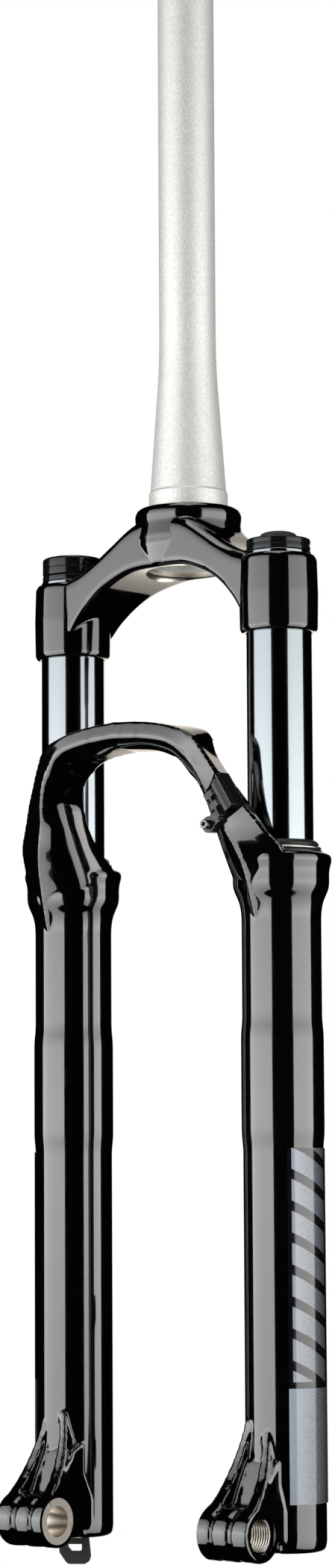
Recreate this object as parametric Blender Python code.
"""A suspension fork with 100 mm of travel for a 29 inch wheel on a 15 x 100 mm axle.

Frame: the origin is the centre of the crown race seat, +Z runs up the steerer, -Y is the front
and +X is the rider's left. Sizes below are in millimetres.
"""

import math

import bmesh
import bpy
from mathutils import Matrix, Vector

MM = 0.001
GAP = 0.3  # left between two pieces that touch
STEPS = 20  # facets of a turned piece
ROD_STEPS = 10  # half of them, so that a rod's corners lie on its bore's
LEFT, RIGHT = 1, -1  # the rider's left leg is at +X

# Steerer
STEERER_LENGTH = 265.0
STEERER_TOP_R = 14.3
STEERER_WALL = 2.3
STEERER_LOW_WALL = 3.9
STEERER_DEPTH = 29.0  # how far it is pressed into the crown
SEAT_R = 19.9
SEAT_HEIGHT = 8.0
TAPER_TOP = 75.0

# Crown
LEG_X = 68.0  # from the steerer's axis to each leg's
LEG_Y = -12.0
COLLAR_R = 27.0
CLAMP_TOP = -33.0
CLAMP_HEIGHT = 38.4
CLAMP_WALL = 3.1
ARM_BEVEL = 4.0

# Stanchions and lower legs
TRAVEL = 100.0
STANCHION_R = 16.0
STANCHION_WALL = 2.0
STANCHION_TOP = CLAMP_TOP + 1.5
BUSHING_WALL = 0.9
LEG_WALL = 1.9
LEG_LENGTH = 331.8
FLOOR_THICKNESS = 14.0
CUP_DEPTH = 24.0
SEAL_DEPTH = 15.0
FOAM_HEIGHT = 6.0
ARCH_RISE = 66.0
BULGE = 0.7
BULGE_HEIGHT = 50.0
DECAL_HEIGHT = 163.0
DECAL_HALF_ANGLE = 46.0
DECAL_THICKNESS = 0.3

# Brake hose guide
HOSE_GUIDE_SIZE = (13.0, 10.0, 20.0)
HOSE_GUIDE_TILT = math.radians(33)
HOSE_R = 2.8
EAR_R = 4.0
EAR_SHIFT = (-11.5, -2.5, -8.5)  # from the guide's middle to its ear's, in the guide's own axes
EAR_THICKNESS = 5.0
GUIDE_SCREW_R = 1.4
GUIDE_SCREW_HEAD_R = 2.3
GUIDE_SCREW_HEAD = 3.1

# Axle and brake
AXLE_Y = -44.2
AXLE_R = 7.5
HUB_WIDTH = 100.0
DROPOUT_DEPTH = 30.0
DROPOUT_R = 13.0
RIB = 7.5
POST_SPACING = 74.2
POST_INSET = 14.0  # from the leg's axis inwards to the posts'
POST_FACE_Y = 15.0
POST_R = 7.8
POST_HOLE_R = 2.5

# Caps and valve
CAP_DEPTH = 14.5
AIR_CAP_TOP = STANCHION_TOP + 6.3
VALVE_R = 3.9
VALVE_CAP_R = 9.3
PIN_R = 1.2
TOKEN_HEIGHT = 20.0
KNOB_BOTTOM = STANCHION_TOP + 3.3
KNOB_HEIGHT = 9.6
KNOB_SCREW_R = 1.8
KNOB_SCREW_HEAD_R = 4.8

# Pieces inside the legs
ROD_R = 5.0
ROD_SOCKET_WALL = 1.0
NEEDLE_R = 1.5
ADJUSTER_R = 4.0
TUBE_LENGTH = 85.7
RING_DEPTH = 1.5  # of a ring's groove
RING_HALF = 1.3  # half the height of an o-ring's groove
WIDE_RING_HALF = 1.9  # half the height of a piston ring's groove
PISTON_HEIGHT = 12.0
COMPRESSION_PISTON_HEIGHT = 18.0
TOP_OUT_HEIGHT = 12.4  # of the bumper and of the spring that stop each piston
SNAP_RING_HEIGHT = 1.6
HEAD_HEIGHT = 13.2
SPRING_TURNS = 4
SPRING_WIRE_R = 0.9
SPRING_STEPS = 14

# Rebound knob
KNOB_TURN = math.radians(35)  # how far it is turned at rest
PADDLE_WIDTH = 16.0
PADDLE_THICKNESS = 5.0
PADDLE_HEIGHT = 13.6
PADDLE_HUB_R = 4.2

# Worked out from those above
CLAMP_BOTTOM = CLAMP_TOP - CLAMP_HEIGHT
CUP_TOP = CLAMP_BOTTOM - TRAVEL - 7.8
LEG_BOTTOM = CUP_TOP - LEG_LENGTH
FLOOR = LEG_BOTTOM + FLOOR_THICKNESS
RECESS_TOP = LEG_BOTTOM + 8.0
STANCHION_BOTTOM = FLOOR + TRAVEL + 7.0
BORE_R = STANCHION_R - STANCHION_WALL
ROD_SOCKET_R = ROD_R - ROD_SOCKET_WALL
FOOT_BOLT_R = ROD_SOCKET_R - GAP
LEG_BORE_R = STANCHION_R + GAP + BUSHING_WALL + GAP
LEG_R = LEG_BORE_R + LEG_WALL
CUP_R = LEG_R + 5.4
SEAL_R = STANCHION_R + 4.4  # the bore that a wiper and its foam ring sit in
WIPER_TOP = CUP_TOP + 6.2
BULGE_TOP = CUP_TOP - 85.8
BULGE_BOTTOM = BULGE_TOP - BULGE_HEIGHT
DECAL_BOTTOM = LEG_BOTTOM + 23.0
HALF_HUB = HUB_WIDTH / 2
OUTER_FACE = HALF_HUB + DROPOUT_DEPTH
AXLE_Z = LEG_BOTTOM + 9.8
AXLE = (0.0, AXLE_Y, AXLE_Z)
POST_LOWER_Z = LEG_BOTTOM + 34.0
POST_X = LEG_X - POST_INSET
HOSE_GUIDE_AT = (LEG_X - 8.0, LEG_Y - 34.2, CUP_TOP + 25.9)
CAP_BOTTOM = STANCHION_TOP - CAP_DEPTH
TUBE_BOTTOM = CAP_BOTTOM - GAP - TUBE_LENGTH
KNOB_TOP = KNOB_BOTTOM + KNOB_HEIGHT
PISTON_R = BORE_R - GAP
RING_R = BORE_R - 0.2
GROOVE_R = PISTON_R - RING_DEPTH
SNAP_TOP = STANCHION_BOTTOM + 6.0
HEAD_BOTTOM = SNAP_TOP + GAP
HEAD_TOP = HEAD_BOTTOM + HEAD_HEIGHT
PISTON_BOTTOM = HEAD_TOP + GAP + TOP_OUT_HEIGHT + GAP


def material(name, colour, roughness, metallic=0.0):
    made = bpy.data.materials.new(name)
    made.use_nodes = True
    shader = made.node_tree.nodes["Principled BSDF"]
    shader.inputs["Base Color"].default_value = (*colour, 1.0)
    shader.inputs["Roughness"].default_value = roughness
    shader.inputs["Metallic"].default_value = metallic
    return made


def add(name, bm, look=None, at=(0.0, 0.0, 0.0)):
    """Makes an object of the mesh, whose points are in millimetres from the place at."""
    bmesh.ops.scale(bm, vec=(MM, MM, MM), verts=bm.verts)
    bmesh.ops.recalc_face_normals(bm, faces=bm.faces)
    mesh = bpy.data.meshes.new(name)
    bm.to_mesh(mesh)
    bm.free()
    mesh.shade_smooth()
    mesh.set_sharp_from_angle(angle=math.radians(35))
    made = bpy.data.objects.new(name, mesh)
    made.location = Vector(at) * MM
    bpy.context.scene.collection.objects.link(made)
    if look:
        mesh.materials.append(look)
    return made


def turned_mesh(outline, steps=STEPS, angle=360.0):
    """Spins a closed outline of (radius, height) about +Z."""
    bm = bmesh.new()
    points = [bm.verts.new((radius, 0.0, height)) for radius, height in outline]
    edges = [bm.edges.new((points[i - 1], points[i])) for i in range(len(points))]
    if angle < 360.0:
        face = bm.faces.new(points)
        edges = [*edges, face]
    bmesh.ops.spin(
        bm,
        geom=[*points, *edges],
        axis=(0, 0, 1),
        cent=(0, 0, 0),
        steps=steps,
        angle=math.radians(angle),
        use_merge=angle == 360.0,
    )
    bmesh.ops.remove_doubles(bm, verts=bm.verts, dist=1e-4)
    bmesh.ops.dissolve_degenerate(bm, edges=bm.edges, dist=1e-4)
    return bm


def turned(name, outline, look, at=(0.0, 0.0, 0.0), steps=STEPS, angle=360.0):
    return add(name, turned_mesh(outline, steps, angle), look, at)


def ring(inner, outer, bottom, top):
    return [(inner, top), (inner, bottom), (outer, bottom), (outer, top)]


def disc(radius, bottom, top):
    return [(0.0, top), (0.0, bottom), (radius, bottom), (radius, top)]


def round_section(inner, outer, middle, sides=4):
    """The outline of a round ring, such as an o-ring."""
    radius = (outer - inner) / 2
    return [
        (
            (inner + outer) / 2 + radius * math.cos(math.tau * i / sides),
            middle + radius * math.sin(math.tau * i / sides),
        )
        for i in range(sides)
    ]


def loft_mesh(sections):
    """Joins sections of equal count with faces and closes both ends."""
    bm = bmesh.new()
    rings = [[bm.verts.new(point) for point in section] for section in sections]
    for first, second in zip(rings, rings[1:]):
        for i in range(len(first)):
            bm.faces.new((first[i - 1], first[i], second[i], second[i - 1]))
    bm.faces.new(rings[0])
    bm.faces.new(rings[-1])
    bmesh.ops.triangulate(bm, faces=bm.faces)
    return bm


def slab_mesh(outline, start, end, axis="X"):
    """Extrudes an outline from start to end: (y, z) points along X, or (x, z) points along Y."""
    if axis == "X":
        sections = [[(x, y, z) for y, z in outline] for x in (start, end)]
    else:
        sections = [[(x, y, z) for x, z in outline] for y in (start, end)]
    return loft_mesh(sections)


def along_x(bm):
    turn = Matrix.Rotation(math.pi / 2, 3, "Y")
    bmesh.ops.rotate(bm, verts=bm.verts, cent=(0, 0, 0), matrix=turn)
    return bm


def along_y(bm):
    turn = Matrix.Rotation(-math.pi / 2, 3, "X")
    bmesh.ops.rotate(bm, verts=bm.verts, cent=(0, 0, 0), matrix=turn)
    return bm


def helper(name, bm, at=(0.0, 0.0, 0.0)):
    made = add(name, bm, None, at)
    made.hide_render = True
    made.display_type = "WIRE"
    return made


def combine(body, operation, name, bm, at=(0.0, 0.0, 0.0)):
    """The castings' many tangent faces need the manifold solver; all the meshes here are closed."""
    modifier = body.modifiers.new(name, "BOOLEAN")
    modifier.operation = operation
    modifier.solver = "MANIFOLD"
    modifier.object = helper(name, bm, at)


def leg_at(side, z=0.0):
    return (side * LEG_X, LEG_Y, z)


def side_name(side):
    return "left" if side == LEFT else "right"


# Steerer and crown


def make_steerer():
    low_bore = SEAT_R - STEERER_LOW_WALL
    outline = [
        (STEERER_TOP_R - 0.6, STEERER_LENGTH),
        (STEERER_TOP_R - STEERER_WALL, STEERER_LENGTH),
        (STEERER_TOP_R - STEERER_WALL, TAPER_TOP + 12.0),
        (low_bore, SEAT_HEIGHT - 4.0),
        (low_bore, -STEERER_DEPTH + 1.0),
        (low_bore + 1.0, -STEERER_DEPTH),
        (SEAT_R, -STEERER_DEPTH),
        (SEAT_R, SEAT_HEIGHT),
        (STEERER_TOP_R, TAPER_TOP),
        (STEERER_TOP_R, STEERER_LENGTH - 0.6),
    ]
    turned("steerer_tube", outline, LOOKS["blasted_alloy"])


# Half of the crown's arm, as shares of the leg spacing: front, rear, top and bottom of each section
# are in millimetres, the first two from the steerer's axis.
CROWN_ARM = (
    (0.0, -25.0, 24.0, -5.0, -31.5),
    (0.24, -26.0, 21.0, -8.0, -32.5),
    (0.44, -26.5, 15.0, -16.0, -37.0),
    (0.60, -27.0, 11.0, -23.0, -43.5),
    (0.74, -27.5, 7.0, -28.0, -53.0),
    (0.86, -28.0, 4.0, -31.0, -64.0),
    (0.97, -28.0, 2.0, -34.5, -68.0),
)


def arm_section(x, front, rear, top, bottom):
    b = ARM_BEVEL
    outline = (
        (front + b, top),
        (front, top - b),
        (front, bottom + b / 2),
        (front + b / 2, bottom),
        (rear - b / 2, bottom),
        (rear, bottom + b / 2),
        (rear, top - b),
        (rear - b, top),
    )
    return [(x, y, z) for y, z in outline]


def make_crown():
    half = [arm_section(share * LEG_X, *rest) for share, *rest in CROWN_ARM]
    mirrored = [[(-x, y, z) for x, y, z in section] for section in half[:0:-1]]
    crown = add("crown", loft_mesh(mirrored + half), LOOKS["gloss_black"])
    collar = [
        (0.0, 0.0),
        (0.0, -30.0),
        (COLLAR_R - 2.0, -30.0),
        (COLLAR_R + 1.0, -18.0),
        (COLLAR_R - 0.5, -9.0),
        (COLLAR_R, -4.0),
        (COLLAR_R - 1.2, -1.2),
        (COLLAR_R - 4.0, 0.0),
    ]
    combine(crown, "UNION", "crown_collar", turned_mesh(collar))
    clamp_r = STANCHION_R + GAP + CLAMP_WALL
    middle = (CLAMP_TOP + CLAMP_BOTTOM) / 2
    clamp = [
        (0.0, CLAMP_TOP),
        (0.0, CLAMP_BOTTOM),
        (clamp_r - 1.6, CLAMP_BOTTOM),
        (clamp_r - 0.4, CLAMP_BOTTOM + 1.4),
        (clamp_r, middle),
        (clamp_r - 0.5, CLAMP_TOP - 2.2),
        (clamp_r - 1.8, CLAMP_TOP),
    ]
    for side in (LEFT, RIGHT):
        name = side_name(side)
        combine(crown, "UNION", f"clamp_{name}", turned_mesh(clamp), leg_at(side))
    for side in (LEFT, RIGHT):
        name = side_name(side)
        bore = disc(STANCHION_R + GAP, CLAMP_BOTTOM - 5.0, CLAMP_TOP + 20.0)
        combine(crown, "DIFFERENCE", f"clamp_bore_{name}", turned_mesh(bore), leg_at(side))
    bore = disc(SEAT_R + GAP, CLAMP_BOTTOM, 5.0)
    combine(crown, "DIFFERENCE", "steerer_bore", turned_mesh(bore))


# Stanchions, bushings and seals


def make_stanchion(side):
    groove_r = BORE_R + 0.9
    outline = [
        (STANCHION_R - 0.5, STANCHION_TOP),
        (BORE_R, STANCHION_TOP),
        (BORE_R, SNAP_TOP + GAP),
        (groove_r, SNAP_TOP + GAP),
        (groove_r, SNAP_TOP - SNAP_RING_HEIGHT - GAP),
        (BORE_R, SNAP_TOP - SNAP_RING_HEIGHT - GAP),
        (BORE_R, STANCHION_BOTTOM),
        (STANCHION_R - 0.5, STANCHION_BOTTOM),
        (STANCHION_R, STANCHION_BOTTOM + 0.5),
        (STANCHION_R, STANCHION_TOP - 0.5),
    ]
    turned(f"stanchion_{side_name(side)}", outline, LOOKS["polished_alloy"], leg_at(side))


def make_bushings(side):
    seal_bottom = CUP_TOP - SEAL_DEPTH
    places = {
        "upper": (seal_bottom - 22.0, seal_bottom - 4.0),
        "lower": (BULGE_BOTTOM + 10.0, BULGE_TOP - 10.0),
    }
    inner = STANCHION_R + GAP
    for place, (bottom, top) in places.items():
        outline = ring(inner, inner + BUSHING_WALL, bottom, top)
        name = f"bushing_{place}_{side_name(side)}"
        turned(name, outline, LOOKS["bushing"], leg_at(side))


def make_seals(side):
    """The wiper is pressed into the leg's mouth, on the foam ring that wets the stanchion."""
    name = side_name(side)
    inner = STANCHION_R + GAP
    outer = SEAL_R - GAP
    foam_bottom = CUP_TOP - SEAL_DEPTH + GAP
    wiper_bottom = foam_bottom + FOAM_HEIGHT + GAP
    groove = CUP_TOP + 1.9
    wiper = [
        (inner, WIPER_TOP),
        (inner, wiper_bottom),
        (outer, wiper_bottom),
        (outer, groove - 0.6),
        (outer - 1.9, groove - 0.6),
        (outer - 1.9, groove + 0.9),
        (inner + 1.9, WIPER_TOP - 1.2),
    ]
    turned(f"wiper_seal_{name}", wiper, LOOKS["seal_rubber"], leg_at(side))
    spring = round_section(outer - 1.6, outer - 0.4, groove + 0.4)
    turned(f"wiper_spring_{name}", spring, LOOKS["steel"], leg_at(side))
    foam = ring(inner, outer, foam_bottom, foam_bottom + FOAM_HEIGHT)
    turned(f"foam_ring_{name}", foam, LOOKS["foam"], leg_at(side))


# Lower legs. The arch is five edges: the outer one, the front ridge, the two inner ones and the
# rear one. Each station gives (x, y, height) of the five. x is from the leg's axis and y is from
# the leg's centre, both in leg radii, height is from the cup's rim in millimetres, and the number
# before them is the share of the leg spacing that x starts from.

ARCH = (
    (0.0, (0.0, -2.37, 66.2), (0.0, -2.45, 59.7), (0.0, -2.32, 55.0),
     (0.0, -1.40, 52.4), (0.0, -1.24, 66.6)),
    (0.29, (0.0, -2.37, 64.7), (-0.05, -2.45, 58.2), (-0.10, -2.32, 53.7),
     (-0.15, -1.42, 50.5), (0.0, -1.24, 65.0)),
    (0.52, (0.1, -2.35, 61.2), (-0.10, -2.42, 55.2), (-0.25, -2.25, 50.5),
     (-0.40, -1.40, 46.2), (0.0, -1.19, 62.5)),
    (0.64, (0.23, -2.29, 56.5), (-0.18, -2.37, 51.0), (-0.37, -2.12, 46.0),
     (-0.52, -1.37, 41.5), (-0.02, -1.14, 58.5)),
    (0.78, (0.05, -2.19, 49.2), (-0.42, -2.28, 46.0), (-0.63, -1.97, 39.0),
     (-0.80, -1.34, 36.0), (-0.36, -1.12, 49.2)),
    (1.0, (-0.41, -2.04, 39.2), (-0.94, -2.21, 39.2), (-1.20, -1.78, 31.0),
     (-1.29, -0.98, 30.0), (-0.78, -1.11, 39.2)),
    (1.0, (-0.09, -1.86, 29.2), (-0.72, -2.05, 29.2), (-1.16, -1.66, 26.0),
     (-1.22, -0.80, 23.0), (-0.34, -1.11, 29.2)),
    (1.0, (0.27, -1.61, 19.2), (-0.52, -1.83, 19.2), (-1.14, -1.55, 18.0),
     (-1.20, -0.55, 15.2), (0.10, -1.11, 19.2)),
    (1.0, (0.62, -1.34, 9.2), (-0.34, -1.72, 9.2), (-1.15, -1.35, 9.2),
     (-1.19, -0.20, 7.5), (0.50, -1.09, 9.2)),
    (1.0, (0.84, -0.98, 0.0), (-0.14, -1.53, 0.0), (-1.16, -1.19, 0.0),
     (-1.22, 0.26, -0.8), (0.30, 0.30, 0.0)),
    (1.0, (0.80, -0.92, -10.0), (-0.06, -1.34, -10.0), (-1.13, -0.90, -10.0),
     (-1.16, 0.25, -10.0), (0.30, 0.30, -10.0)),
    (1.0, (0.62, -0.86, -24.0), (-0.03, -1.13, -25.0), (-0.97, -0.52, -25.0),
     (-0.97, 0.10, -24.0), (0.30, 0.30, -24.0)),
    (1.0, (0.35, -0.80, -36.0), (-0.02, -0.95, -37.0), (-0.70, -0.50, -36.0),
     (-0.80, 0.05, -36.0), (0.30, 0.30, -36.0)),
)
INNER_FACE_POINTS = 2  # between the ridge and the rear inner edge, on the rounded inner face


def arch_point(start, edge, side):
    x, y, height = edge
    return Vector((side * (start * LEG_X + x * LEG_R), LEG_Y + y * LEG_R, CUP_TOP + height))


def arch_section(station, side):
    """The five edges, with the inner face rounded between the ridge and the inner edges."""
    start, *edges = station
    outer, ridge, front, rear, back = (arch_point(start, edge, side) for edge in edges)
    bend = front + (front - (ridge + rear) / 2) * 0.35
    inner_face = []
    for i in range(1, INNER_FACE_POINTS + 1):
        t = i / (INNER_FACE_POINTS + 1)
        inner_face.append(ridge * (1 - t) ** 2 + bend * 2 * t * (1 - t) + rear * t**2)
    return [outer, ridge, *inner_face, rear, back]


def arch_mesh():
    left = [arch_section(station, LEFT) for station in ARCH]
    right = [arch_section(station, RIGHT) for station in ARCH[:0:-1]]
    return loft_mesh(right + left)


def leg_outline():
    bulge_r = LEG_R + BULGE
    cup_bottom = CUP_TOP - CUP_DEPTH
    return [
        (0.0, CUP_TOP),
        (0.0, LEG_BOTTOM),
        (LEG_R - 2.5, LEG_BOTTOM),
        (LEG_R - 0.8, LEG_BOTTOM + 0.8),
        (LEG_R, LEG_BOTTOM + 3.0),
        (LEG_R, BULGE_BOTTOM - 4.0),
        (bulge_r, BULGE_BOTTOM),
        (bulge_r, BULGE_TOP),
        (LEG_R, BULGE_TOP + 4.0),
        (LEG_R, cup_bottom - 4.0),
        (LEG_R + 0.6, cup_bottom),
        (CUP_R - 1.3, cup_bottom + 8.0),
        (CUP_R - 1.3, CUP_TOP - 7.5),
        (CUP_R, CUP_TOP - 4.0),
        (CUP_R - 0.4, CUP_TOP - 1.2),
        (CUP_R - 2.2, CUP_TOP),
    ]


def leg_bore():
    """Cuts the bushings' bore, the seal's seat and the hollow behind the arch for the crown's clamp."""
    seat_bottom = CUP_TOP - SEAL_DEPTH
    clearance_r = STANCHION_R + GAP + CLAMP_WALL + 1.2
    return [
        (0.0, CUP_TOP + ARCH_RISE + 5.0),
        (0.0, FLOOR),
        (LEG_BORE_R - 2.0, FLOOR),
        (LEG_BORE_R, FLOOR + 2.0),
        (LEG_BORE_R, seat_bottom),
        (SEAL_R, seat_bottom),
        (SEAL_R, CUP_TOP - 0.4),
        (clearance_r, CUP_TOP),
        (clearance_r, CUP_TOP + ARCH_RISE + 5.0),
    ]


def foot_cutter():
    return [
        (0.0, FLOOR + 1.0),
        (0.0, LEG_BOTTOM - 1.0),
        (8.0, LEG_BOTTOM - 1.0),
        (8.0, RECESS_TOP),
        (FOOT_BOLT_R + 0.8, RECESS_TOP),
        (FOOT_BOLT_R + 0.8, FLOOR + 1.0),
    ]


def on_drum(degrees, radius=DROPOUT_R):
    angle = math.radians(degrees)
    return (AXLE_Y + radius * math.cos(angle), AXLE_Z + radius * math.sin(angle))


def rib_outline(setback):
    """A dropout's rib, seen from the side: from the leg down the front and round the drum."""
    radius = DROPOUT_R - setback
    drum = [on_drum(degrees, radius) for degrees in (140, 165, 190, 215, 240, 270)]
    leg_front = LEG_Y - LEG_R
    return [
        (LEG_Y - 5.0, AXLE_Z + 60.0 - 1.5 * setback),
        (leg_front - 0.5, AXLE_Z + 44.0 - 2.5 * setback),
        *drum,
        (leg_front + 6.0, LEG_BOTTOM + 0.5),
        (LEG_Y - 5.0, LEG_BOTTOM + 0.5),
    ]


def drum_outline():
    return [
        (0.0, OUTER_FACE),
        (0.0, HALF_HUB),
        (DROPOUT_R - 0.8, HALF_HUB),
        (DROPOUT_R, HALF_HUB + 0.8),
        (DROPOUT_R, OUTER_FACE - 0.8),
        (DROPOUT_R - 0.8, OUTER_FACE),
    ]


def sided(bm, side):
    if side == RIGHT:
        bmesh.ops.scale(bm, vec=(-1, 1, 1), verts=bm.verts)
    return bm


def make_lower_legs():
    legs = add("lower_legs", arch_mesh(), LOOKS["gloss_black"])
    for side in (LEFT, RIGHT):
        name = side_name(side)
        combine(legs, "UNION", f"leg_{name}", turned_mesh(leg_outline()), leg_at(side))
        drum = along_x(turned_mesh(drum_outline()))
        combine(legs, "UNION", f"drum_{name}", sided(drum, side), AXLE)
        ribs = (
            ("inner", 0.0, HALF_HUB, HALF_HUB + RIB),
            ("web", 5.0, HALF_HUB + RIB - 1.0, OUTER_FACE - RIB + 1.0),
            ("outer", 0.0, OUTER_FACE - RIB, OUTER_FACE),
        )
        for part, setback, start, end in ribs:
            bm = sided(slab_mesh(rib_outline(setback), start, end), side)
            combine(legs, "UNION", f"rib_{part}_{name}", bm)
    post = disc(POST_R, LEG_Y - 2.0, POST_FACE_Y)
    for i in range(2):
        place = (POST_X, 0.0, POST_LOWER_Z + i * POST_SPACING)
        combine(legs, "UNION", f"post_{i}", along_y(turned_mesh(post)), place)
    web = [
        (LEG_Y, POST_LOWER_Z - 12.0),
        (POST_FACE_Y - 4.0, POST_LOWER_Z),
        (POST_FACE_Y - 8.0, POST_LOWER_Z + 16.0),
        (POST_FACE_Y - 8.0, POST_LOWER_Z + POST_SPACING - 16.0),
        (POST_FACE_Y - 4.0, POST_LOWER_Z + POST_SPACING),
        (LEG_Y, POST_LOWER_Z + POST_SPACING + 14.0),
    ]
    combine(legs, "UNION", "post_web", slab_mesh(web, POST_X - 3.5, POST_X + 3.5))
    for side in (LEFT, RIGHT):
        name = side_name(side)
        combine(legs, "DIFFERENCE", f"leg_bore_{name}", turned_mesh(leg_bore()), leg_at(side))
        combine(legs, "DIFFERENCE", f"foot_{name}", turned_mesh(foot_cutter()), leg_at(side))
        axle = disc(AXLE_R, HALF_HUB - 1.0, OUTER_FACE + 1.0)
        combine(legs, "DIFFERENCE", f"axle_{name}", sided(along_x(turned_mesh(axle)), side), AXLE)
    for i in range(2):
        hole = disc(POST_HOLE_R, POST_FACE_Y - 14.0, POST_FACE_Y + 1.0)
        place = (POST_X, 0.0, POST_LOWER_Z + i * POST_SPACING)
        combine(legs, "DIFFERENCE", f"post_hole_{i}", along_y(turned_mesh(hole, ROD_STEPS)), place)
    combine(legs, "DIFFERENCE", "hose_pocket", hose_block(GAP))
    combine(legs, "DIFFERENCE", "ear_pocket", ear_mesh(EAR_R + GAP, -12.0, EAR_THICKNESS / 2 + GAP))
    combine(legs, "DIFFERENCE", "arm_pocket", ear_block(GAP))
    combine(legs, "DIFFERENCE", "guide_screw_hole", ear_mesh(GUIDE_SCREW_R + GAP, 0.0, 7.0))


# The brake hose guide lies in a pocket of the arch's left limb.


def place_on_limb(bm, shift=(0.0, 0.0, 0.0)):
    bmesh.ops.translate(bm, vec=shift, verts=bm.verts)
    turn = Matrix.Rotation(-HOSE_GUIDE_TILT, 3, "Y")
    bmesh.ops.rotate(bm, verts=bm.verts, cent=(0, 0, 0), matrix=turn)
    bmesh.ops.translate(bm, vec=HOSE_GUIDE_AT, verts=bm.verts)
    return bm


def hose_block(grow=0.0):
    bm = bmesh.new()
    bmesh.ops.create_cube(bm, size=1.0)
    size = [side + 2 * grow for side in HOSE_GUIDE_SIZE]
    bmesh.ops.scale(bm, vec=size, verts=bm.verts)
    return place_on_limb(bm)


def ear_mesh(radius, front, back):
    """A round piece along Y at the ear's centre, between two depths from it."""
    return place_on_limb(along_y(turned_mesh(disc(radius, front, back))), EAR_SHIFT)


def ear_block(grow=0.0):
    """Joins the ear to the guide's side."""
    bm = bmesh.new()
    bmesh.ops.create_cube(bm, size=1.0)
    x, y, z = EAR_SHIFT
    reach = -x - HOSE_GUIDE_SIZE[0] / 2 + 2.0
    size = (reach, EAR_THICKNESS + 2 * grow, 1.5 * EAR_R + 2 * grow)
    bmesh.ops.scale(bm, vec=size, verts=bm.verts)
    return place_on_limb(bm, (x + reach / 2, y, z))


def make_hose_guide():
    guide = add("hose_guide", hose_block(), LOOKS["dark_plastic"])
    half = EAR_THICKNESS / 2
    combine(guide, "UNION", "guide_ear", ear_mesh(EAR_R, -half, half))
    combine(guide, "UNION", "guide_arm", ear_block())
    channel = turned_mesh(disc(HOSE_R, -20.0, 20.0), ROD_STEPS)
    front = -HOSE_GUIDE_SIZE[1] / 2
    combine(guide, "DIFFERENCE", "hose_channel", place_on_limb(channel, (1.5, front + 0.5, 0.0)))
    combine(guide, "DIFFERENCE", "guide_hole", ear_mesh(GUIDE_SCREW_R + GAP, -10.0, 10.0))
    seat = -half - GAP
    end = half + 3.0
    screw = [
        (0.0, end),
        (0.0, seat - GUIDE_SCREW_HEAD),
        (GUIDE_SCREW_HEAD_R, seat - GUIDE_SCREW_HEAD),
        (GUIDE_SCREW_HEAD_R, seat),
        (GUIDE_SCREW_R, seat),
        (GUIDE_SCREW_R, end),
    ]
    bm = place_on_limb(along_y(turned_mesh(screw)), EAR_SHIFT)
    add("hose_guide_screw", bm, LOOKS["steel"])


# Air spring, in the left leg


def make_top_cap(name, side, flange_r, flange_top, bore_r):
    """A cap screwed into the stanchion's top, with its o-ring."""
    groove = CAP_BOTTOM + 4.0
    outline = [
        (bore_r, flange_top),
        (bore_r, CAP_BOTTOM),
        (PISTON_R, CAP_BOTTOM),
        (PISTON_R, groove - RING_HALF),
        (GROOVE_R, groove - RING_HALF),
        (GROOVE_R, groove + RING_HALF),
        (PISTON_R, groove + RING_HALF),
        (PISTON_R, STANCHION_TOP + GAP),
        (flange_r, STANCHION_TOP + GAP),
        (flange_r, flange_top - 0.8),
        (flange_r - 0.8, flange_top),
    ]
    turned(name, outline, LOOKS["black_alloy"], leg_at(side))
    seal = round_section(GROOVE_R + GAP, RING_R, groove)
    turned(f"{name}_o_ring", seal, LOOKS["rubber"], leg_at(side))


def make_air_cap():
    make_top_cap("air_top_cap", LEFT, STANCHION_R - 0.3, AIR_CAP_TOP, VALVE_R + GAP)
    well_top = AIR_CAP_TOP + 3.2
    valve = [
        (PIN_R + 0.6, well_top - 1.2),
        (PIN_R + 0.6, CAP_BOTTOM + 1.0),
        (VALVE_R - 0.8, CAP_BOTTOM + 1.0),
        (VALVE_R, CAP_BOTTOM + 2.0),
        (VALVE_R, AIR_CAP_TOP - 1.0),
        (VALVE_R - 0.4, well_top - 1.2),
    ]
    turned("air_valve_body", valve, LOOKS["brass"], leg_at(LEFT))
    pin = disc(PIN_R, CAP_BOTTOM + 2.0, well_top - 2.2)
    turned("air_valve_pin", pin, LOOKS["steel"], leg_at(LEFT), ROD_STEPS)
    inner = VALVE_R + GAP
    dome = [
        (0.0, AIR_CAP_TOP + 4.0),
        (0.0, well_top - 0.6),
        (inner, well_top - 0.6),
        (inner, AIR_CAP_TOP + GAP),
        (VALVE_CAP_R, AIR_CAP_TOP + GAP),
        (VALVE_CAP_R, AIR_CAP_TOP + 1.8),
        (VALVE_CAP_R - 0.9, AIR_CAP_TOP + 2.9),
        (VALVE_CAP_R - 3.0, AIR_CAP_TOP + 3.7),
    ]
    turned("air_valve_cap", dome, LOOKS["dark_plastic"], leg_at(LEFT))
    token_top = CAP_BOTTOM - GAP
    token = [
        (ROD_R, token_top),
        (ROD_R, token_top - TOKEN_HEIGHT),
        (PISTON_R - 2.0, token_top - TOKEN_HEIGHT),
        (PISTON_R - 1.0, token_top - TOKEN_HEIGHT + 1.0),
        (PISTON_R - 1.0, token_top),
    ]
    turned("volume_token", token, LOOKS["token_plastic"], leg_at(LEFT))


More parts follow.
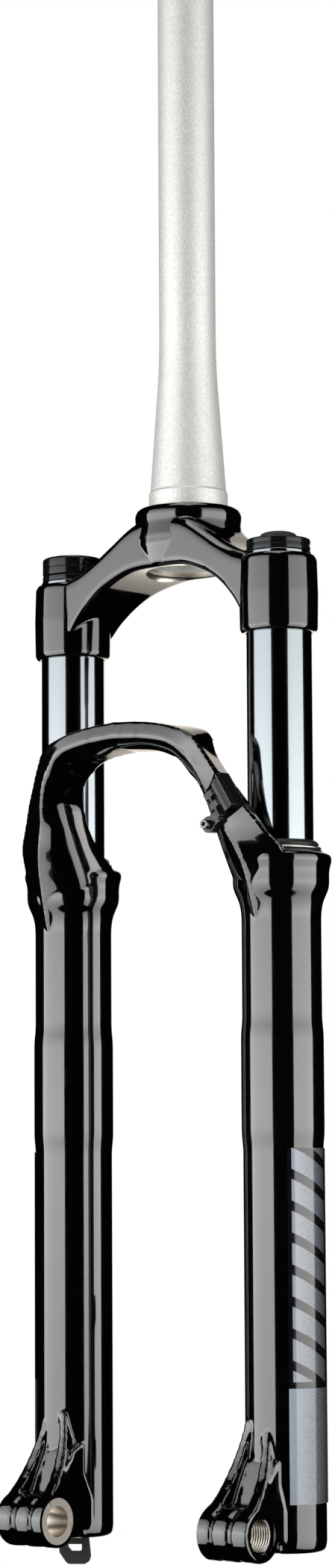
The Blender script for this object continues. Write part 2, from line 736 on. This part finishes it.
def make_rod_and_piston(rod_name, piston_name, ring_name, side, ring_look):
    """A hollow rod on the leg's floor, with a piston on its top end."""
    at = leg_at(side)
    piston_top = PISTON_BOTTOM + PISTON_HEIGHT
    rod_top = piston_top - 4.0
    socket_top = FLOOR + 24.0
    inner = NEEDLE_R + 0.4
    rod = [
        (inner, rod_top),
        (inner, socket_top),
        (ROD_SOCKET_R, socket_top),
        (ROD_SOCKET_R, FLOOR + GAP),
        (ROD_R, FLOOR + GAP),
        (ROD_R, rod_top),
    ]
    turned(rod_name, rod, LOOKS["black_alloy"], at)
    middle = PISTON_BOTTOM + PISTON_HEIGHT / 2
    body_r = PISTON_R - 0.6
    piston = [
        (0.0, piston_top),
        (0.0, rod_top + GAP),
        (ROD_R + GAP, rod_top + GAP),
        (ROD_R + GAP, PISTON_BOTTOM),
        (body_r, PISTON_BOTTOM),
        (body_r, middle - WIDE_RING_HALF),
        (GROOVE_R, middle - WIDE_RING_HALF),
        (GROOVE_R, middle + WIDE_RING_HALF),
        (body_r, middle + WIDE_RING_HALF),
        (body_r, piston_top),
    ]
    turned(piston_name, piston, LOOKS["alloy"], at)
    seal_half = WIDE_RING_HALF - GAP
    seal = ring(GROOVE_R + GAP, RING_R, middle - seal_half, middle + seal_half)
    turned(ring_name, seal, ring_look, at)


def make_seal_head(name, snap_name, side):
    """Closes the stanchion's lower end round the rod, held by a snap ring."""
    at = leg_at(side)
    middle = HEAD_BOTTOM + HEAD_HEIGHT / 2
    head = [
        (ROD_R + GAP, HEAD_TOP),
        (ROD_R + GAP, HEAD_BOTTOM),
        (PISTON_R, HEAD_BOTTOM),
        (PISTON_R, middle - RING_HALF),
        (GROOVE_R, middle - RING_HALF),
        (GROOVE_R, middle + RING_HALF),
        (PISTON_R, middle + RING_HALF),
        (PISTON_R, HEAD_TOP),
    ]
    turned(name, head, LOOKS["head_plastic"], at)
    turned(f"{name}_o_ring", round_section(GROOVE_R + GAP, RING_R, middle), LOOKS["rubber"], at)
    snap = ring(BORE_R - 1.8, BORE_R + 0.6, SNAP_TOP - SNAP_RING_HEIGHT, SNAP_TOP)
    open_steps = STEPS - 2
    turned(snap_name, snap, LOOKS["steel"], at, open_steps, 360.0 * open_steps / STEPS)


def make_foot(side, bolt_name, washer_name, hollow):
    """The foot bolt holds the rod to the leg's floor through a crush washer."""
    at = leg_at(side)
    washer_top = RECESS_TOP - GAP
    washer = ring(FOOT_BOLT_R + GAP, FOOT_BOLT_R + 3.2, washer_top - 1.0, washer_top)
    turned(washer_name, washer, LOOKS["alloy"], at)
    head_top = washer_top - 1.0 - GAP
    head_bottom = LEG_BOTTOM + 1.5
    shank_top = FLOOR + 20.0
    head_r = FOOT_BOLT_R + 2.6
    if hollow:
        inside = [(NEEDLE_R + 0.4, shank_top), (NEEDLE_R + 0.4, head_bottom)]
    else:
        inside = [(0.0, shank_top), (0.0, head_bottom + 3.0), (2.5, head_bottom + 3.0), (2.5, head_bottom)]
    bolt = [
        *inside,
        (head_r, head_bottom),
        (head_r, head_top),
        (FOOT_BOLT_R, head_top),
        (FOOT_BOLT_R, shank_top),
    ]
    turned(bolt_name, bolt, LOOKS["black_alloy"], at)


def make_air_spring():
    make_air_cap()
    make_rod_and_piston("air_shaft", "air_piston", "air_piston_seal", LEFT, LOOKS["rubber"])
    make_seal_head("air_seal_head", "snap_ring_left", LEFT)
    bottom = HEAD_TOP + GAP
    bumper = ring(ROD_R + GAP, ROD_R + 4.5, bottom, bottom + TOP_OUT_HEIGHT)
    turned("top_out_bumper", bumper, LOOKS["bumper"], leg_at(LEFT))
    bumper = ring(ROD_R + GAP, ROD_R + 6.0, FLOOR + GAP, FLOOR + 9.0)
    turned("bottom_out_bumper", bumper, LOOKS["bumper"], leg_at(LEFT))
    make_foot(LEFT, "foot_bolt_left", "crush_washer_left", hollow=False)


# Damper, in the right leg


def make_damper_cap():
    at = leg_at(RIGHT)
    flange_r = STANCHION_R - 0.6
    make_top_cap("damper_top_cap", RIGHT, flange_r, KNOB_BOTTOM - GAP, ADJUSTER_R + GAP)
    screw_seat = KNOB_TOP - 1.2
    knob = [
        (KNOB_SCREW_R + GAP, screw_seat),
        (KNOB_SCREW_R + GAP, KNOB_BOTTOM),
        (flange_r - 0.6, KNOB_BOTTOM),
        (flange_r, KNOB_BOTTOM + 0.6),
        (flange_r, KNOB_TOP - 1.2),
        (flange_r - 0.9, KNOB_TOP - 0.4),
        (flange_r - 3.0, KNOB_TOP),
        (5.2, KNOB_TOP),
        (5.2, screw_seat),
    ]
    turned("lockout_knob", knob, LOOKS["black_alloy"], at)
    screw_end = KNOB_BOTTOM + 1.5
    head_r = KNOB_SCREW_HEAD_R
    screw = [
        (0.0, KNOB_TOP + 1.2),
        (0.0, screw_end),
        (KNOB_SCREW_R, screw_end),
        (KNOB_SCREW_R, screw_seat + GAP),
        (head_r, screw_seat + GAP),
        (head_r, KNOB_TOP + 0.8),
        (head_r - 0.5, KNOB_TOP + 1.2),
    ]
    turned("knob_screw", screw, LOOKS["alloy"], at, ROD_STEPS)
    rod_end = TUBE_BOTTOM - COMPRESSION_PISTON_HEIGHT + 2.0
    rod = disc(ADJUSTER_R, rod_end, KNOB_BOTTOM - GAP)
    turned("compression_rod", rod, LOOKS["alloy"], at, ROD_STEPS)


def make_compression_damper():
    at = leg_at(RIGHT)
    tube = ring(ADJUSTER_R + 2.0, ADJUSTER_R + 4.0, TUBE_BOTTOM, CAP_BOTTOM - GAP)
    turned("compression_tube", tube, LOOKS["head_plastic"], at)
    top = TUBE_BOTTOM - GAP
    bottom = top - COMPRESSION_PISTON_HEIGHT
    middle = (top + bottom) / 2
    body_r = PISTON_R - 0.6
    piston = [
        (ADJUSTER_R + GAP, top),
        (ADJUSTER_R + GAP, bottom),
        (body_r, bottom),
        (body_r, middle - RING_HALF),
        (GROOVE_R, middle - RING_HALF),
        (GROOVE_R, middle + RING_HALF),
        (body_r, middle + RING_HALF),
        (body_r, top),
    ]
    turned("compression_piston", piston, LOOKS["alloy"], at)
    seal = round_section(GROOVE_R + GAP, RING_R, middle)
    turned("compression_piston_ring", seal, LOOKS["rubber"], at)


def make_top_out_spring():
    bottom = HEAD_TOP + GAP + SPRING_WIRE_R
    rise = TOP_OUT_HEIGHT - 2 * SPRING_WIRE_R
    radius = (ROD_R + PISTON_R) / 2 - SPRING_WIRE_R
    curve = bpy.data.curves.new("top_out_spring", "CURVE")
    curve.dimensions = "3D"
    curve.bevel_depth = SPRING_WIRE_R * MM
    curve.bevel_resolution = 1
    curve.use_fill_caps = True
    wire = curve.splines.new("POLY")
    count = SPRING_TURNS * SPRING_STEPS + 1
    wire.points.add(count - 1)
    for i, point in enumerate(wire.points):
        turn = math.tau * i / SPRING_STEPS
        height = bottom + rise * i / (count - 1)
        place = Vector((radius * math.cos(turn), radius * math.sin(turn), height)) * MM
        point.co = (*place, 1.0)
    made = bpy.data.objects.new("top_out_spring", curve)
    made.location = Vector(leg_at(RIGHT)) * MM
    curve.materials.append(LOOKS["steel"])
    bpy.context.scene.collection.objects.link(made)


def make_rebound_knob():
    """A moulded paddle on a short hub, which turns the needle through the hollow foot bolt."""
    top = LEG_BOTTOM - 0.6
    bottom = top - PADDLE_HEIGHT
    half = PADDLE_WIDTH / 2
    outline = [
        (-half, top),
        (-half, bottom + 6.0),
        (-half + 3.5, bottom + 1.0),
        (-half + 5.0, bottom),
        (half - 3.0, bottom),
        (half - 1.0, bottom + 1.2),
        (half, bottom + 4.0),
        (half - 1.2, top),
    ]
    knob = add(
        "rebound_knob",
        slab_mesh(outline, -PADDLE_THICKNESS / 2, PADDLE_THICKNESS / 2, axis="Y"),
        LOOKS["matte_plastic"],
        leg_at(RIGHT),
    )
    knob.rotation_euler.z = KNOB_TURN
    hub = turned_mesh(disc(PADDLE_HUB_R, top - 1.0, LEG_BOTTOM + 1.1))
    combine(knob, "UNION", "knob_hub", hub, leg_at(RIGHT))
    slot = [
        (-3.6, top - 3.6),
        (-3.6, top - 5.2),
        (-1.8, top - 7.2),
        (2.6, top - 7.2),
        (3.6, top - 6.2),
        (3.6, top - 3.6),
    ]
    window = slab_mesh(slot, -PADDLE_THICKNESS, PADDLE_THICKNESS, axis="Y")
    turn = Matrix.Rotation(KNOB_TURN, 3, "Z")
    bmesh.ops.rotate(window, verts=window.verts, cent=(0, 0, 0), matrix=turn)
    combine(knob, "DIFFERENCE", "knob_window", window, leg_at(RIGHT))
    socket = turned_mesh(disc(NEEDLE_R + GAP, top - 1.5, LEG_BOTTOM + 2.0))
    combine(knob, "DIFFERENCE", "needle_socket", socket, leg_at(RIGHT))
    needle = disc(NEEDLE_R, top - 1.5 + GAP, PISTON_BOTTOM)
    turned("rebound_needle", needle, LOOKS["steel"], leg_at(RIGHT), ROD_STEPS)


def make_damper():
    make_damper_cap()
    make_compression_damper()
    make_rod_and_piston("rebound_shaft", "rebound_piston", "rebound_glide_ring", RIGHT, LOOKS["glide"])
    make_seal_head("rebound_seal_head", "snap_ring_right", RIGHT)
    make_top_out_spring()
    make_foot(RIGHT, "foot_bolt_right", "crush_washer_right", hollow=True)
    make_rebound_knob()


# Decals, on the outer side of each leg


def make_decal(side):
    inner = LEG_R + GAP
    outline = ring(inner, inner + DECAL_THICKNESS, DECAL_BOTTOM, DECAL_BOTTOM + DECAL_HEIGHT)
    bm = turned_mesh(outline, 12, 2 * DECAL_HALF_ANGLE)
    turn = -DECAL_HALF_ANGLE + (0.0 if side == LEFT else 180.0)
    matrix = Matrix.Rotation(math.radians(turn), 3, "Z")
    bmesh.ops.rotate(bm, verts=bm.verts, cent=(0, 0, 0), matrix=matrix)
    add(f"decal_{side_name(side)}", bm, LOOKS["decal"], leg_at(side))


LOOKS = {}


def make_looks():
    LOOKS.update(
        blasted_alloy=material("blasted_alloy", (0.78, 0.78, 0.75), 0.45, 1.0),
        gloss_black=material("gloss_black", (0.006, 0.006, 0.007), 0.12),
        polished_alloy=material("polished_alloy", (0.30, 0.33, 0.38), 0.08, 1.0),
        bushing=material("bushing", (0.35, 0.22, 0.12), 0.5, 0.6),
        seal_rubber=material("seal_rubber", (0.01, 0.01, 0.01), 0.5),
        steel=material("steel", (0.72, 0.70, 0.66), 0.25, 1.0),
        foam=material("foam", (0.25, 0.23, 0.2), 0.95),
        dark_plastic=material("dark_plastic", (0.03, 0.03, 0.032), 0.45),
        matte_plastic=material("matte_plastic", (0.035, 0.034, 0.033), 0.7),
        black_alloy=material("black_alloy", (0.015, 0.015, 0.016), 0.3, 0.6),
        alloy=material("alloy", (0.66, 0.66, 0.67), 0.35, 1.0),
        brass=material("brass", (0.66, 0.52, 0.25), 0.35, 1.0),
        rubber=material("rubber", (0.012, 0.012, 0.012), 0.6),
        glide=material("glide", (0.5, 0.48, 0.42), 0.5),
        head_plastic=material("head_plastic", (0.1, 0.1, 0.1), 0.5),
        token_plastic=material("token_plastic", (0.5, 0.02, 0.02), 0.5),
        bumper=material("bumper", (0.02, 0.02, 0.02), 0.8),
        decal=material("decal", (0.45, 0.48, 0.52), 0.3),
    )


def main():
    for made in list(bpy.data.objects):
        bpy.data.objects.remove(made, do_unlink=True)
    make_looks()
    make_steerer()
    make_crown()
    for side in (LEFT, RIGHT):
        make_stanchion(side)
        make_bushings(side)
        make_seals(side)
        make_decal(side)
    make_lower_legs()
    make_hose_guide()
    make_air_spring()
    make_damper()


main()
